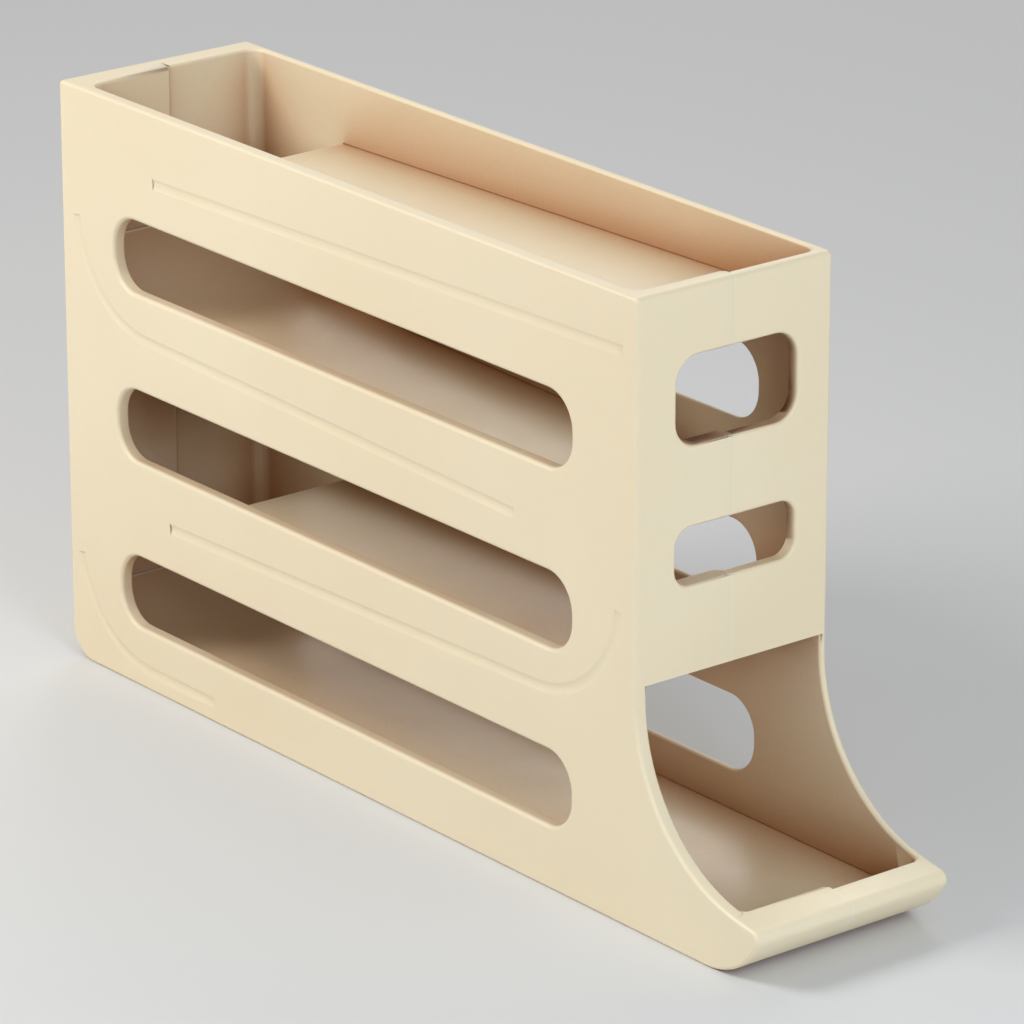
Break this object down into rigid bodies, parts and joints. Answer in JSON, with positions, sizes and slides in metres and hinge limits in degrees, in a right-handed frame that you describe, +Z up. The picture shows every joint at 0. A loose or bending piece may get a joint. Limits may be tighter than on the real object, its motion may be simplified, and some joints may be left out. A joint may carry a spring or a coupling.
{
  "type": "egg holder",
  "caption": "Tall narrow rolling egg dispenser with stacked sloping floors, side slots, front windows and a low tray at the foot.",
  "frame": {"origin": "middle of the underside, on the shelf the holder stands on", "axes": "+X from the back to the tray at the front, +Z up, +Y from the near side to the far side"},
  "size_m": [0.357, 0.0772, 0.2049],
  "materials": {
    "cream_plastic": "satin cream moulded plastic with softly rounded edges"
  },
  "bodies": {
    "root": {"near_shell": "cream_plastic", "far_shell": "cream_plastic", "top_floor": "cream_plastic", "upper_chute": "cream_plastic", "lower_chute": "cream_plastic", "base_floor": "cream_plastic"}
  },
  "joints": []
}
